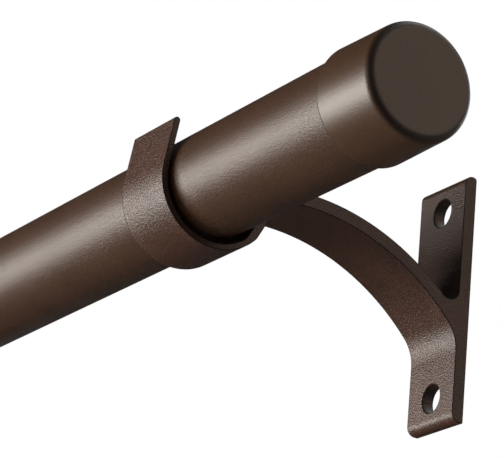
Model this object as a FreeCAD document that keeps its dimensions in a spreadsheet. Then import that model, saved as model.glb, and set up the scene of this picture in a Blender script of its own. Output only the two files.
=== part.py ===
"""Curtain rod: a round tube with a slip-over cap on each end, carried by two one-piece wall brackets.

The frame: X runs along the rod, +Y points into the wall, +Z is up. The origin lies on the wall's
surface, at the centre of the four screw holes, so the room is on the -Y side.
"""
import FreeCAD, Part
import math
import os

import Sketcher
from FreeCAD import Rotation, Vector

# Driving sizes, in millimetres and degrees: alias, value, meaning
SIZES = (
    ("overall_length", 608.0, "over the faces of both end caps"),
    ("rod_diameter", 25.4, "outside of the tube"),
    ("rod_wall", 1.0, "tube wall"),
    ("rod_end_gap", 0.3, "between the tube's end and the cap's floor"),
    ("rod_height", 10.3, "rod axis above the centre of the screw holes"),
    ("wall_projection", 72.0, "rod axis to the wall"),
    ("cap_length", 18.8, "over the open rim and the closed face"),
    ("cap_fit", 0.1, "radial clearance of the tube in the cap"),
    ("cap_rim_wall", 1.0, "cap wall at its open rim"),
    ("cap_draft", 1.25, "slope of the cap's outside, in degrees"),
    ("cap_floor", 2.0, "thickness of the closed face"),
    ("cap_face_round", 2.0, "radius round the closed face"),
    ("bracket_inset", 90.0, "middle of a bracket to the nearer cap's face"),
    ("bracket_width", 18.5, "along the rod"),
    ("plate_height", 62.4, "wall plate from top to bottom"),
    ("plate_thickness", 3.2, "wall plate"),
    ("plate_top_front_round", 2.0, "upper front edge of the wall plate"),
    ("plate_top_back_round", 0.9, "upper back edge of the wall plate"),
    ("plate_foot_round", 2.2, "lower front edge of the wall plate"),
    ("hole_inset", 7.45, "centre of a screw hole to the nearer end of the wall plate"),
    ("hole_diameter", 7.2, "screw hole"),
    ("hole_rim_break", 0.15, "chamfer round the front rim of a screw hole"),
    ("arm_thickness", 3.25, "curved arm"),
    ("arm_radius", 57.25, "underside of the curved arm"),
    ("arm_crown_out", 24.4, "rod axis to the crown of the arm, towards the wall"),
    ("arm_crown_rise", 0.65, "crown of the arm's underside above the rod axis"),
    ("arm_root_round", 10.0, "underside of the arm into the wall plate"),
    ("arm_pocket_round", 2.8, "bottom of the pocket between the arm and the wall plate"),
    ("cradle_clearance", 0.8, "radial clearance round the rod in the cradle"),
    ("cradle_drop", 1.0, "centre of the cradle's curve below the rod axis"),
    ("cradle_wall", 1.5, "cradle and front lip"),
    ("lip_lean", 8.5, "lean of the front lip towards the rod, in degrees"),
    ("lip_rise", 12.9, "top of the front lip above the rod axis"),
    ("lip_round", 0.7, "both top edges of the front lip"),
    ("ramp_lean", 28.0, "lean of the rear ramp away from the rod, in degrees"),
    ("ramp_gap", 0.3, "between the rod and the rear ramp"),
    ("ramp_wall", 2.1, "rear ramp"),
    ("ramp_inner_round", 5.0, "cradle's floor into the rear ramp"),
    ("ramp_outer_round", 4.0, "cradle's underside into the rear ramp"),
    ("ramp_top_round", 1.5, "top of the rear ramp into the arm"),
    ("ramp_foot_round", 2.0, "back of the rear ramp into the arm's underside"),
)

doc = FreeCAD.newDocument("CurtainRod")
sheet = doc.addObject("Spreadsheet::Sheet", "Sizes")
for row, (alias, value, meaning) in enumerate(SIZES, start=1):
    sheet.set(f"A{row}", alias)
    sheet.set(f"B{row}", str(value))
    sheet.set(f"C{row}", meaning)
    sheet.setAlias(f"B{row}", alias)
doc.recompute()


def size(alias):
    """The value that the sheet holds for an alias."""
    return float(sheet.get(alias))


def plane_of(body, role):
    """One of a body's own origin planes."""
    return next(plane for plane in body.Origin.OriginFeatures if plane.Role == role)


def new_body(label, x, y, z, turn=0.0):
    """An empty body, placed by three expressions and turned about the vertical."""
    body = doc.addObject("PartDesign::Body", label)
    body.Label = label
    body.Placement.Rotation = Rotation(Vector(0, 0, 1), turn)
    for axis, expression in (("x", x), ("y", y), ("z", z)):
        body.setExpression(f"Placement.Base.{axis}", expression)
    return body


def new_sketch(body, role, name):
    """An empty sketch on one of a body's origin planes."""
    sketch = body.newObject("Sketcher::SketchObject", name)
    sketch.AttachmentSupport = (plane_of(body, role), [""])
    sketch.MapMode = "FlatFace"
    return sketch


def drive(sketch, name, expression, *constraint):
    """Adds a dimension to a sketch and binds it to an expression of the sheet's cells."""
    index = sketch.addConstraint(Sketcher.Constraint(*constraint))
    sketch.renameConstraint(index, name)
    sketch.setExpression(f"Constraints.{name}", expression)


def join(sketch, *pairs):
    """Makes pairs of end points meet; each pair is (geometry, end, geometry, end)."""
    for pair in pairs:
        sketch.addConstraint(Sketcher.Constraint("Coincident", *pair))


def arc(centre, radius, start, end):
    """Arc of a circle, counter-clockwise from one point to another."""
    circle = Part.Circle(centre, Vector(0, 0, 1), radius)
    return Part.ArcOfCircle(circle, circle.parameter(start), circle.parameter(end))


def crossing(point, direction, centre, radius, side):
    """Where a line leaves a circle, on the side given by +1 or -1 along the line."""
    foot = point + direction * (centre - point).dot(direction)
    half = math.sqrt(radius ** 2 - (foot - centre).Length ** 2)
    return foot + direction * (half * side)


def lengthwise_edges(feature, *spots):
    """Names of the edges that run along X through the given (y, z) spots."""
    names = []
    for number, edge in enumerate(feature.Shape.Edges, start=1):
        first, last = edge.Vertexes[0].Point, edge.Vertexes[-1].Point
        along_x = abs(first.y - last.y) + abs(first.z - last.z) < 1e-6 < abs(first.x - last.x)
        if along_x and any(math.hypot(first.y - y, first.z - z) < 0.01 for y, z in spots):
            names.append(f"Edge{number}")
    return names


def dress_edges(body, name, form, size_name, expression, edges):
    """Rounds or chamfers some edges of a body's last feature."""
    last = body.Tip
    dressing = body.newObject(f"PartDesign::{form}", name)
    dressing.Base = (last, edges)
    dressing.setExpression(size_name, expression)
    doc.recompute()


def round_edges(body, name, radius, edges):
    """Rounds edges to a radius given as an expression."""
    dress_edges(body, name, "Fillet", "Radius", radius, edges)


def break_edges(body, name, width, edges):
    """Chamfers edges to a width given as an expression."""
    dress_edges(body, name, "Chamfer", "Size", width, edges)


# The tube

def make_tube(label):
    """The rod itself, a plain round tube that stops just short of each cap's floor."""
    body = new_body(label, "0", "-Sizes.wall_projection", "Sizes.rod_height")
    ring = new_sketch(body, "YZ_Plane", "tube_ring")
    outside = size("rod_diameter") / 2
    for radius in (outside, outside - size("rod_wall")):
        ring.addGeometry(Part.Circle(Vector(), Vector(0, 0, 1), radius), False)
    join(ring, (0, 3, -1, 1), (1, 3, -1, 1))
    drive(ring, "outside", "Sizes.rod_diameter / 2", "Radius", 0, outside)
    drive(ring, "inside", "Sizes.rod_diameter / 2 - Sizes.rod_wall",
          "Radius", 1, outside - size("rod_wall"))
    tube = body.newObject("PartDesign::Pad", "tube_length")
    tube.Profile = ring
    tube.Midplane = True
    tube.setExpression("Length", "Sizes.overall_length - 2 * (Sizes.cap_floor + Sizes.rod_end_gap)")
    return body


# The end caps

def make_cap(label, side, turn):
    """A drafted cup, turned about the rod's axis, with its open rim at the body's own origin."""
    body = new_body(label, f"{side} * (Sizes.overall_length / 2 - Sizes.cap_length)",
                    "-Sizes.wall_projection", "Sizes.rod_height", turn)
    length = size("cap_length")
    floor = length - size("cap_floor")
    bore = size("rod_diameter") / 2 + size("cap_fit")
    rim = bore + size("cap_rim_wall")
    face = rim - length * math.tan(math.radians(size("cap_draft")))
    corners = [Vector(*corner) for corner in
               ((0, bore), (0, rim), (length, face), (length, 0), (floor, 0), (floor, bore))]
    section = new_sketch(body, "XZ_Plane", f"{label}_section")
    for start, end in zip(corners, corners[1:] + corners[:1]):
        section.addGeometry(Part.LineSegment(start, end), False)
    mouth, flank, end_face, axis_line, inner_face, bore_line = range(6)
    join(section, *((line, 2, (line + 1) % 6, 1) for line in range(6)))
    for line in (mouth, end_face, inner_face):
        section.addConstraint(Sketcher.Constraint("Vertical", line))
    for line in (axis_line, bore_line):
        section.addConstraint(Sketcher.Constraint("Horizontal", line))
    section.addConstraint(Sketcher.Constraint("PointOnObject", mouth, 1, -2))
    section.addConstraint(Sketcher.Constraint("PointOnObject", axis_line, 1, -1))
    drive(section, "bore", "Sizes.rod_diameter / 2 + Sizes.cap_fit", "DistanceY", -1, 1, mouth, 1, bore)
    drive(section, "rim_wall", "Sizes.cap_rim_wall", "DistanceY", mouth, 1, mouth, 2, rim - bore)
    drive(section, "length", "Sizes.cap_length", "DistanceX", mouth, 2, flank, 2, length)
    drive(section, "draft", "Sizes.cap_length * tan(Sizes.cap_draft * 1 deg)",
          "DistanceY", flank, 2, flank, 1, rim - face)
    drive(section, "floor", "Sizes.cap_floor", "DistanceX", axis_line, 2, axis_line, 1, length - floor)
    cup = body.newObject("PartDesign::Revolution", f"{label}_cup")
    cup.Profile = section
    cup.ReferenceAxis = (section, ["H_Axis"])
    cup.Angle = 360
    doc.recompute()
    rims = [f"Edge{number}" for number, edge in enumerate(cup.Shape.Edges, start=1)
            if edge.Closed and abs(edge.Curve.Radius - face) < 1e-6]
    round_edges(body, f"{label}_face_round", "Sizes.cap_face_round", rims)
    return body


# The brackets

def profile_points():
    """Corners and centres of the bracket's profile in the plane of Y and Z, before any rounding."""
    up = Vector(0, 1)
    rod = Vector(-size("wall_projection"), size("rod_height"))
    cradle = rod - up * size("cradle_drop")
    inner = size("rod_diameter") / 2 + size("cradle_clearance")
    outer = inner + size("cradle_wall")
    arm_low = size("arm_radius")
    arm_high = arm_low + size("arm_thickness")
    arm = rod + Vector(size("arm_crown_out"), size("arm_crown_rise") - arm_low)
    front = Vector(-size("plate_thickness"), 0)
    half_height = up * (size("plate_height") / 2)
    lean = math.radians(size("lip_lean"))
    lip_along = Vector(math.sin(lean), math.cos(lean))
    lip_out = Vector(-math.cos(lean), math.sin(lean))
    slope = math.radians(size("ramp_lean"))
    ramp_along = Vector(math.sin(slope), math.cos(slope))
    ramp_out = Vector(math.cos(slope), -math.sin(slope))
    ramp_face = rod + ramp_out * (size("rod_diameter") / 2 + size("ramp_gap"))
    ramp_back = ramp_face + ramp_out * size("ramp_wall")
    lip_face = cradle + lip_out * inner
    lip_back = cradle + lip_out * outer
    lip_top = rod.y + size("lip_rise")
    return {
        "rod": rod, "cradle": cradle, "arm": arm,
        "lip_face_foot": lip_face,
        "lip_face_top": lip_face + lip_along * ((lip_top - lip_face.y) / lip_along.y),
        "lip_back_foot": lip_back,
        "lip_back_top": lip_back + lip_along * ((lip_top - lip_back.y) / lip_along.y),
        "ramp_face_foot": crossing(ramp_face, ramp_along, cradle, inner, -1),
        "ramp_face_top": crossing(ramp_face, ramp_along, arm, arm_high, 1),
        "ramp_back_foot": crossing(ramp_back, ramp_along, cradle, outer, -1),
        "ramp_back_top": crossing(ramp_back, ramp_along, arm, arm_low, 1),
        "pocket": crossing(front, up, arm, arm_high, 1),
        "arm_root": crossing(front, up, arm, arm_low, 1),
        "front_top": front + half_height, "back_top": half_height,
        "back_foot": half_height * -1, "front_foot": front - half_height,
    }


def draw_profile(body, label):
    """The bracket's profile as a constrained sketch with sharp corners."""
    at = profile_points()
    inner = size("rod_diameter") / 2 + size("cradle_clearance")
    outer = inner + size("cradle_wall")
    arm_low = size("arm_radius")
    arm_high = arm_low + size("arm_thickness")
    sketch = new_sketch(body, "YZ_Plane", f"{label}_profile")

    def line(start, end):
        return sketch.addGeometry(Part.LineSegment(at[start], at[end]), False)

    floor = sketch.addGeometry(arc(at["cradle"], inner, at["lip_face_foot"], at["ramp_face_foot"]), False)
    ramp_face = line("ramp_face_foot", "ramp_face_top")
    arm_top = sketch.addGeometry(arc(at["arm"], arm_high, at["pocket"], at["ramp_face_top"]), False)
    front_upper = line("pocket", "front_top")
    plate_top = line("front_top", "back_top")
    plate_back = line("back_top", "back_foot")
    plate_foot = line("back_foot", "front_foot")
    front_lower = line("front_foot", "arm_root")
    arm_under = sketch.addGeometry(arc(at["arm"], arm_low, at["arm_root"], at["ramp_back_top"]), False)
    ramp_back = line("ramp_back_foot", "ramp_back_top")
    under = sketch.addGeometry(arc(at["cradle"], outer, at["lip_back_foot"], at["ramp_back_foot"]), False)
    lip_back = line("lip_back_foot", "lip_back_top")
    lip_top = line("lip_back_top", "lip_face_top")
    lip_face = line("lip_face_foot", "lip_face_top")
    rod = sketch.addGeometry(Part.Point(at["rod"]), True)

    join(sketch, (floor, 2, ramp_face, 1), (ramp_face, 2, arm_top, 2), (arm_top, 1, front_upper, 1),
         (front_upper, 2, plate_top, 1), (plate_top, 2, plate_back, 1), (plate_back, 2, plate_foot, 1),
         (plate_foot, 2, front_lower, 1), (front_lower, 2, arm_under, 1), (arm_under, 2, ramp_back, 2),
         (ramp_back, 1, under, 2), (lip_back, 2, lip_top, 1), (lip_top, 2, lip_face, 2),
         (under, 3, floor, 3), (arm_under, 3, arm_top, 3))
    for lip, curve in ((lip_face, floor), (lip_back, under)):
        sketch.addConstraint(Sketcher.Constraint("Tangent", lip, 1, curve, 1))
    for upright in (front_upper, plate_back, front_lower):
        sketch.addConstraint(Sketcher.Constraint("Vertical", upright))
    for level in (plate_top, plate_foot, lip_top):
        sketch.addConstraint(Sketcher.Constraint("Horizontal", level))
    sketch.addConstraint(Sketcher.Constraint("PointOnObject", plate_back, 1, -2))
    sketch.addConstraint(Sketcher.Constraint("Parallel", lip_face, lip_back))
    sketch.addConstraint(Sketcher.Constraint("Parallel", ramp_face, ramp_back))

    drive(sketch, "projection", "Sizes.wall_projection", "DistanceX", rod, 1, -1, 1, -at["rod"].x)
    drive(sketch, "rod_height", "Sizes.rod_height", "DistanceY", -1, 1, rod, 1, at["rod"].y)
    drive(sketch, "cradle_drop", "Sizes.cradle_drop", "DistanceY", floor, 3, rod, 1, size("cradle_drop"))
    sketch.addConstraint(Sketcher.Constraint("Vertical", floor, 3, rod, 1))
    drive(sketch, "floor_radius", "Sizes.rod_diameter / 2 + Sizes.cradle_clearance",
          "Radius", floor, inner)
    drive(sketch, "under_radius",
          "Sizes.rod_diameter / 2 + Sizes.cradle_clearance + Sizes.cradle_wall", "Radius", under, outer)
    drive(sketch, "arm_out", "Sizes.arm_crown_out", "DistanceX", rod, 1, arm_under, 3, size("arm_crown_out"))
    drive(sketch, "arm_down", "Sizes.arm_radius - Sizes.arm_crown_rise",
          "DistanceY", arm_under, 3, rod, 1, at["rod"].y - at["arm"].y)
    drive(sketch, "arm_under", "Sizes.arm_radius", "Radius", arm_under, arm_low)
    drive(sketch, "arm_top", "Sizes.arm_radius + Sizes.arm_thickness", "Radius", arm_top, arm_high)
    drive(sketch, "plate", "Sizes.plate_thickness", "DistanceX", plate_top, 1, plate_top, 2,
          size("plate_thickness"))
    drive(sketch, "foot", "Sizes.plate_thickness", "DistanceX", plate_foot, 2, plate_foot, 1,
          size("plate_thickness"))
    drive(sketch, "plate_up", "Sizes.plate_height / 2", "DistanceY", -1, 1, plate_back, 1,
          at["back_top"].y)
    drive(sketch, "plate_down", "Sizes.plate_height / 2", "DistanceY", plate_back, 2, -1, 1,
          at["back_top"].y)
    drive(sketch, "lip_rise", "Sizes.lip_rise", "DistanceY", rod, 1, lip_top, 1, size("lip_rise"))
    drive(sketch, "lip_angle", "90 - Sizes.lip_lean", "Angle", lip_face,
          math.radians(90 - size("lip_lean")))
    drive(sketch, "ramp_angle", "90 - Sizes.ramp_lean", "Angle", ramp_face,
          math.radians(90 - size("ramp_lean")))
    drive(sketch, "ramp_face", "Sizes.rod_diameter / 2 + Sizes.ramp_gap",
          "Distance", rod, 1, ramp_face, size("rod_diameter") / 2 + size("ramp_gap"))
    drive(sketch, "ramp_back", "Sizes.rod_diameter / 2 + Sizes.ramp_gap + Sizes.ramp_wall",
          "Distance", rod, 1, ramp_back, size("rod_diameter") / 2 + size("ramp_gap") + size("ramp_wall"))
    return sketch


def drill_screw_holes(body, label):
    """Two plain round holes through the wall plate, on its middle line."""
    radius = size("hole_diameter") / 2
    reach = size("plate_height") / 2 - size("hole_inset")
    sketch = new_sketch(body, "XZ_Plane", f"{label}_holes")
    for number, (name, side) in enumerate((("upper", 1), ("lower", -1))):
        sketch.addGeometry(Part.Circle(Vector(0, side * reach), Vector(0, 0, 1), radius), False)
        sketch.addConstraint(Sketcher.Constraint("PointOnObject", number, 3, -2))
        drive(sketch, f"{name}_radius", "Sizes.hole_diameter / 2", "Radius", number, radius)
    drive(sketch, "upper_height", "Sizes.plate_height / 2 - Sizes.hole_inset",
          "DistanceY", -1, 1, 0, 3, reach)
    drive(sketch, "lower_height", "Sizes.plate_height / 2 - Sizes.hole_inset",
          "DistanceY", 1, 3, -1, 1, reach)
    holes = body.newObject("PartDesign::Pocket", f"{label}_drilling")
    holes.Profile = sketch
    holes.Midplane = True
    holes.setExpression("Length", "3 * Sizes.plate_thickness")
    doc.recompute()
    return holes


def make_bracket(label, side):
    """Lip, cradle, arm and wall plate in one piece of constant width."""
    body = new_body(label, f"{side} * (Sizes.overall_length / 2 - Sizes.bracket_inset)", "0", "0")
    bar = body.newObject("PartDesign::Pad", f"{label}_bar")
    bar.Profile = draw_profile(body, label)
    bar.Midplane = True
    bar.setExpression("Length", "Sizes.bracket_width")
    doc.recompute()

    at = profile_points()
    for corners, radius in (
            (("ramp_face_foot",), "ramp_inner_round"), (("ramp_back_foot",), "ramp_outer_round"),
            (("ramp_face_top",), "ramp_top_round"), (("ramp_back_top",), "ramp_foot_round"),
            (("pocket",), "arm_pocket_round"), (("arm_root",), "arm_root_round"),
            (("lip_face_top", "lip_back_top"), "lip_round"), (("front_top",), "plate_top_front_round"),
            (("back_top",), "plate_top_back_round"), (("front_foot",), "plate_foot_round")):
        spots = [(at[corner].x, at[corner].y) for corner in corners]
        round_edges(body, f"{label}_{radius}", f"Sizes.{radius}", lengthwise_edges(body.Tip, *spots))

    drill_screw_holes(body, label)
    rims = [f"Edge{number}" for number, edge in enumerate(body.Tip.Shape.Edges, start=1)
            if edge.Closed and abs(edge.Vertexes[0].Y + size("plate_thickness")) < 1e-6]
    break_edges(body, f"{label}_hole_rims", "Sizes.hole_rim_break", rims)
    return body


pieces = (
    make_tube("rod_tube"),
    make_cap("right_end_cap", 1, 0),
    make_cap("left_end_cap", -1, 180),
    make_bracket("right_bracket", 1),
    make_bracket("left_bracket", -1),
)
doc.recompute()

for item in doc.Objects:
    if {"Invalid", "Error"} & set(item.State):
        raise RuntimeError(f"{item.Label} failed: {item.State}")
    if item.TypeId == "Sketcher::SketchObject" and item.solve() != 0:
        raise RuntimeError(f"{item.Label} doesn't solve")

os.makedirs("parts", exist_ok=True)
for piece in pieces:
    shape = piece.Shape
    if shape.isNull() or not shape.isValid() or len(shape.Solids) != 1:
        raise RuntimeError(f"{piece.Label} isn't one sound solid")
    shape.exportStep(os.path.join("parts", f"{piece.Label}.step"))
    box = shape.BoundBox
    print(f"{piece.Label}: {shape.Volume / 1000:.2f} cm3, X {box.XMin:.2f}..{box.XMax:.2f},"
          f" Y {box.YMin:.2f}..{box.YMax:.2f}, Z {box.ZMin:.2f}..{box.ZMax:.2f}")
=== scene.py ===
"""Looks of the curtain rod: powder-coated tube, end caps and brackets in a plain studio."""

import bpy
from mathutils import Matrix, Vector

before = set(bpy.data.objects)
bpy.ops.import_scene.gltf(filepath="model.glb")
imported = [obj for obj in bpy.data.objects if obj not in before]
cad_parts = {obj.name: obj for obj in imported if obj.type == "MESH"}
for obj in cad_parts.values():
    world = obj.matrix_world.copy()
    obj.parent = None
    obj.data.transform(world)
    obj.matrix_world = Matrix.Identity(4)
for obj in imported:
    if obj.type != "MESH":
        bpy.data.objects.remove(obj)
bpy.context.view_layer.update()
MM = 0.001


# Nodes

# A mix node's two inputs and its output, by its type
MIX_SOCKETS = {"FLOAT": (2, 3, 0), "RGBA": (6, 7, 2)}


def linear(code):
    """An sRGB hex code as a linear colour."""
    shares = (int(code[i:i + 2], 16) / 255 for i in (1, 3, 5))
    return (*(s / 12.92 if s <= 0.04045 else ((s + 0.055) / 1.055) ** 2.4 for s in shares), 1.0)


WHITE = linear("#FFFFFF")


def put(tree, socket, value):
    """Sets an input to a value, or links an output to it."""
    if isinstance(value, bpy.types.NodeSocket):
        tree.links.new(value, socket)
    else:
        socket.default_value = value


def add(tree, kind, settings=None, **sockets):
    """Adds a node: settings are its properties, sockets its inputs by name."""
    node = tree.nodes.new(kind)
    for name, value in (settings or {}).items():
        setattr(node, name, value)
    for name, value in sockets.items():
        put(tree, node.inputs[name.replace("_", " ")], value)
    return node


def number(tree, operation, *values, clamp=False):
    """The result of an operation on numbers."""
    node = add(tree, "ShaderNodeMath", {"operation": operation, "use_clamp": clamp})
    for socket, value in zip(node.inputs, values):
        put(tree, socket, value)
    return node.outputs["Value"]


def vector(tree, operation, *values, result="Value"):
    """The result of an operation on vectors: a number, or with result="Vector" a vector."""
    node = add(tree, "ShaderNodeVectorMath", {"operation": operation})
    for socket, value in zip(node.inputs, values):
        put(tree, socket, value)
    return node.outputs[result]


def remap(tree, value, start, end, low=0.0, high=1.0, curve="LINEAR"):
    """Turns start to end into low to high, and stays level beyond them."""
    node = add(tree, "ShaderNodeMapRange", {"interpolation_type": curve}, Value=value,
               From_Min=start, From_Max=end, To_Min=low, To_Max=high)
    return node.outputs["Result"]


def blend(tree, kind, factor, low, high):
    """A number (FLOAT) or a colour (RGBA) between two."""
    mix = add(tree, "ShaderNodeMix", {"data_type": kind}, Factor=factor)
    first, second, result = MIX_SOCKETS[kind]
    put(tree, mix.inputs[first], low)
    put(tree, mix.inputs[second], high)
    return mix.outputs[result]


def new_material(name):
    """A material without nodes, and its tree."""
    material = bpy.data.materials.new(name)
    material.use_nodes = True
    material.node_tree.nodes.clear()
    return material, material.node_tree


# Powder coat

PEEL_MM = 2.6  # waves of the baked skin
PEEL_DEPTH_MM = 0.01
CLOUD_MM = 14  # patches of the sprayed cloud
CLOUD_RANGE = (0.3, 0.7)  # the cloud pattern's usual values
CLOUD_TONES = (0.25, 0.75)  # the pale tone's share at those values
SPECKLE = 0.4  # how far a grain's tone strays from its cloud's
# Colour of the painted shade along edges, creases and a cap's face round
PAINTED_SHADE_COLOUR = "#1C0F05"
DRY_ROUGHNESS = 0.9
COAT_IOR = 1.5

# An edge is where the rounded normal leaves the flat one: the cosines where it starts and is full
EDGE_COSINES = (0.998, 0.965)
# How far a surface faces along the rod, from 0 on the tube to 1 on a cap's flat face: the values
# where the rim's line starts and is full, where it comes back from the flat face, and where the
# dry ends start and are full
RIM_LEAN = (0.35, 0.75)
FACE_LEAN = (0.999, 0.95)
DRY_LEAN = (0.96, 0.999)
RIM_DARKNESS = 0.85


def powder_coat(name, dark, pale, roughness, grain_mm, relief_mm, edge_mm, dry_ends):
    """Dark bronze powder coat on steel.

    It is sprayed on as powder and baked, which leaves a satin skin with a fine grain; dark lines
    of painted shade are laid along its edges.
    """
    material, tree = new_material(name)
    where = add(tree, "ShaderNodeTexCoord")
    place = where.outputs["Object"]
    grain_scale = 1 / (grain_mm * MM)

    # Single grains, the baked skin's slow waviness, and the unevenness of the sprayed cloud
    grain = add(tree, "ShaderNodeTexNoise", Vector=place, Scale=grain_scale,
                Detail=1.5, Roughness=0.6)
    grit = add(tree, "ShaderNodeTexVoronoi", Vector=place, Scale=grain_scale).outputs["Color"]
    peel = add(tree, "ShaderNodeTexNoise", Vector=place, Scale=1 / (PEEL_MM * MM), Detail=1.0)
    clouds = add(tree, "ShaderNodeTexNoise", Vector=place, Scale=1 / (CLOUD_MM * MM),
                 Detail=3.0, Roughness=0.5)

    # Each sharp edge and inner crease gets a thin darker line of painted shade. It is drawn about
    # twice as wide as the real dark line, or it wouldn't show
    rounded = add(tree, "ShaderNodeBevel", {"samples": 8}, Radius=edge_mm * MM).outputs["Normal"]
    flat = add(tree, "ShaderNodeNewGeometry").outputs["Normal"]
    edge = remap(tree, vector(tree, "DOT_PRODUCT", rounded, flat), *EDGE_COSINES)

    # A band of painted shade lies on the round of a cap's face as well. Only that round and the
    # screw holes lean partly towards the rod's ends
    leans = add(tree, "ShaderNodeSeparateXYZ", Vector=where.outputs["Normal"])
    lean = number(tree, "ABSOLUTE", leans.outputs["X"])
    rim = remap(tree, lean, *RIM_LEAN, high=RIM_DARKNESS, curve="SMOOTHSTEP")
    face = remap(tree, lean, *FACE_LEAN, curve="SMOOTHSTEP")
    painted_edge_shade = number(tree, "MULTIPLY_ADD", rim, face, edge, clamp=True)

    spread = remap(tree, clouds.outputs["Fac"], *CLOUD_RANGE, *CLOUD_TONES)
    speck = remap(tree, grit, 0.0, 1.0, -SPECKLE, SPECKLE)
    tone = number(tree, "ADD", spread, speck, clamp=True)
    coat = blend(tree, "RGBA", tone, linear(dark), linear(pale))
    colour = blend(tree, "RGBA", painted_edge_shade, coat, linear(PAINTED_SHADE_COLOUR))

    # The gloss changes from grain to grain, and more on a coarser coat
    gloss = remap(tree, grit, 0.0, 1.0, roughness - relief_mm / 2, roughness + relief_mm / 2)

    # The powder lies drier on the caps' flat faces and on the brackets' cut sides, which shine
    # less than the rest
    flat_end = remap(tree, lean, *DRY_LEAN, high=dry_ends, curve="SMOOTHSTEP")
    dull = number(tree, "MAXIMUM", edge, flat_end)
    dulled = blend(tree, "FLOAT", dull, gloss, DRY_ROUGHNESS)

    wavy = add(tree, "ShaderNodeBump", Height=peel.outputs["Fac"],
               Distance=PEEL_DEPTH_MM * MM, Normal=rounded)
    sandy = add(tree, "ShaderNodeBump", Height=grain.outputs["Fac"],
                Distance=relief_mm * MM, Normal=wavy.outputs["Normal"])
    skin = add(tree, "ShaderNodeBsdfPrincipled", Base_Color=colour, Roughness=dulled,
               IOR=COAT_IOR, Normal=sandy.outputs["Normal"])
    add(tree, "ShaderNodeOutputMaterial", Surface=skin.outputs["BSDF"])
    return material


# Steel tube under fine sand powder. Its grain breaks the light into a soft, slightly grainy
# stripe along the rod. Real grains are 0.1 to 0.3 mm; they are drawn at 0.34 mm, as finer ones
# wouldn't show
tube_coat = powder_coat(
    "fine_sand_powder_coat_on_tube", dark="#40291B", pale="#4E3424", roughness=0.41,
    grain_mm=0.34, relief_mm=0.11, edge_mm=0.4, dry_ends=0.25)

# Drawn steel cap under powder that flowed out before it set. It is nearly smooth, so its stripe
# of light is brighter and calmer than the tube's, and its flat face is an even dark brown
cap_coat = powder_coat(
    "smooth_powder_coat_on_cap", dark="#432B1B", pale="#4D3523", roughness=0.4,
    grain_mm=0.34, relief_mm=0.04, edge_mm=0.5, dry_ends=0.25)

# Flat bar steel, bent and then coated with the coarsest powder of the three. Its grains cast
# small shadows and catch single sparks, which makes the faces look sandy and dry
bracket_coat = powder_coat(
    "sand_textured_powder_coat_on_bracket", dark="#39241A", pale="#533426", roughness=0.4,
    grain_mm=0.4, relief_mm=0.17, edge_mm=0.45, dry_ends=0.42)

COATS = {"rod_tube": tube_coat, "right_end_cap": cap_coat, "left_end_cap": cap_coat,
         "right_bracket": bracket_coat, "left_bracket": bracket_coat}
for node, coat in COATS.items():
    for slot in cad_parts[node].material_slots:
        slot.material = coat


# Studio

# The rod hangs high above its floor, as a curtain rod does, and the photograph looks up at it
FLOOR_Z = -2.3
FLOOR_HALF = 40.0
ROOM_LIGHT = 0.04

# Gloss finds the room white on this side, behind the object's right end: how far a direction
# points that way where the white starts and is full, and how bright it is there
WHITE_SIDE = (1, 1, 0.7)
WHITE_SIDE_RANGE = (0.1, 1.2)
WHITE_SIDE_LIGHT = 0.27

# The eye sees mostly white over the floor's own paint: its share grows from the first to the
# second value between these distances from the object, in metres
FLOOR_WHITE = (0.8, 1.0)
FLOOR_FADE = (1.8, 5.0)


def seen_rays(tree):
    """1 for a ray that shows its target: straight, in gloss or through glass; 0 for others."""
    rays = add(tree, "ShaderNodeLightPath")
    seen = rays.outputs["Is Camera Ray"]
    for other in ("Is Glossy Ray", "Is Transmission Ray"):
        seen = number(tree, "MAXIMUM", seen, rays.outputs[other])
    return seen


def shown_white(tree, place):
    """How white a place shows: fully to the eye, but in gloss only on the white side."""
    way = vector(tree, "NORMALIZE", place, result="Vector")
    aside = vector(tree, "DOT_PRODUCT", way, WHITE_SIDE)
    side = remap(tree, aside, *WHITE_SIDE_RANGE, ROOM_LIGHT, WHITE_SIDE_LIGHT, "SMOOTHSTEP")
    camera = add(tree, "ShaderNodeLightPath").outputs["Is Camera Ray"]
    return blend(tree, "FLOAT", camera, side, 1.0)


def pale_floor_paint():
    """White paint that takes the object's shadow and turns into the white room further out."""
    material, tree = new_material("pale_floor_paint")
    place = add(tree, "ShaderNodeTexCoord").outputs["Object"]
    away = vector(tree, "LENGTH", place)
    bright = remap(tree, away, *FLOOR_FADE, *FLOOR_WHITE, "SMOOTHSTEP")
    share = number(tree, "MULTIPLY", seen_rays(tree), bright)
    paint = add(tree, "ShaderNodeBsdfDiffuse", Color=linear("#E9E8E5"))
    white = add(tree, "ShaderNodeEmission", Color=WHITE, Strength=shown_white(tree, place))
    mix = add(tree, "ShaderNodeMixShader", Fac=share)
    put(tree, mix.inputs[1], paint.outputs[0])
    put(tree, mix.inputs[2], white.outputs[0])
    add(tree, "ShaderNodeOutputMaterial", Surface=mix.outputs[0])
    return material


def studio_room():
    """A white room that gives the object little light; gloss finds its left side unlit."""
    world = bpy.data.worlds.new("studio_room")
    bpy.context.scene.world = world
    world.use_nodes = True
    tree = world.node_tree
    tree.nodes.clear()
    way = add(tree, "ShaderNodeTexCoord").outputs["Generated"]
    level = blend(tree, "FLOAT", seen_rays(tree), ROOM_LIGHT, shown_white(tree, way))
    air = add(tree, "ShaderNodeBackground", Color=WHITE, Strength=level)
    add(tree, "ShaderNodeOutputWorld", Surface=air.outputs[0])


def floor_sheet(half):
    """A flat square floor under the object."""
    mesh = bpy.data.meshes.new("floor")
    corners = [(x * half, y * half, FLOOR_Z) for x, y in ((-1, -1), (1, -1), (1, 1), (-1, 1))]
    mesh.from_pydata(corners, [], [(0, 1, 2, 3)])
    sheet = bpy.data.objects.new("floor", mesh)
    bpy.context.scene.collection.objects.link(sheet)
    mesh.materials.append(pale_floor_paint())


studio_room()
floor_sheet(FLOOR_HALF)


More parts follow.
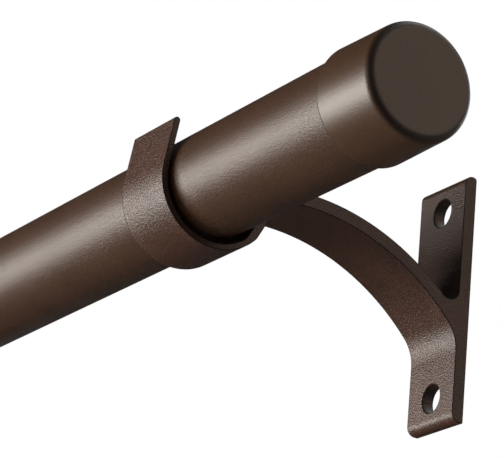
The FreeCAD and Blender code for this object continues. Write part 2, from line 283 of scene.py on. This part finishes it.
def softbox(name, place, aim, width, height, power, tint="#FFFFFF"):
    """A rectangular soft light that faces a point: metres, watts and a colour."""
    light = bpy.data.lights.new(name, "AREA")
    light.shape = "RECTANGLE"
    light.size, light.size_y = width, height
    light.energy = power
    light.color = linear(tint)[:3]
    lamp = bpy.data.objects.new(name, light)
    lamp.location = place
    lamp.rotation_mode = "QUATERNION"
    lamp.rotation_quaternion = (Vector(aim) - Vector(place)).to_track_quat("-Z", "Y")
    bpy.context.scene.collection.objects.link(lamp)


# The key stands in front of the rod, to its left and a little below it. It draws the stripe of
# light along the front, and it is wide, so the cradle's rim throws only a short soft shadow
softbox("key_softbox", (-2.24, -3.26, -0.28), (0.25, -0.07, 0), 3.1, 1.7, 230, "#FFFCF6")
# The others are weak. They keep the cap's face, the brackets' sides, the top and the back from
# going black
softbox("front_softbox", (0.6, -2.75, 0.3), (0.1, -0.07, 0), 1.4, 0.6, 6, "#FFF8F0")
softbox("fill_softbox", (2.2, 1.25, 1.15), (0.2, -0.07, 0), 1.9, 1.3, 15.5, "#FFF2DE")
softbox("rear_softbox", (-1.0, 2.5, 1.0), (0, -0.07, 0), 2.6, 1.4, 22)
softbox("top_softbox", (0.3, 1.3, 2.5), (0, -0.07, 0), 1.6, 1.6, 14)
softbox("left_softbox", (-2.9, 0.9, 0.5), (-0.2, -0.07, 0), 1.2, 1.2, 4)


# Camera, as fitted to the photograph: its place, its axes, and a lens for 36 mm of picture width
CAMERA_AT = Vector((0.76843, -0.38238, -0.22920))
CAMERA_RIGHT = Vector((0.52957, 0.84431, 0.08156))
CAMERA_UP = Vector((0.25069, -0.24762, 0.93584))
CAMERA_VIEW = Vector((-0.81036, 0.47518, 0.34280))
LENS_MM = 210.3
SIGHT = 100  # metres, past the floor's far edge


def photo_camera():
    """The photograph's viewpoint: below the rod, in front of it and beyond its right end."""
    data = bpy.data.cameras.new("photo_camera")
    data.lens = LENS_MM
    data.clip_end = SIGHT
    camera = bpy.data.objects.new("photo_camera", data)
    axes = Matrix((CAMERA_RIGHT, CAMERA_UP, -CAMERA_VIEW)).transposed()
    camera.matrix_world = Matrix.Translation(CAMERA_AT) @ axes.to_4x4()
    bpy.context.scene.collection.objects.link(camera)
    bpy.context.scene.camera = camera


photo_camera()
bpy.context.scene.view_settings.view_transform = "Standard"
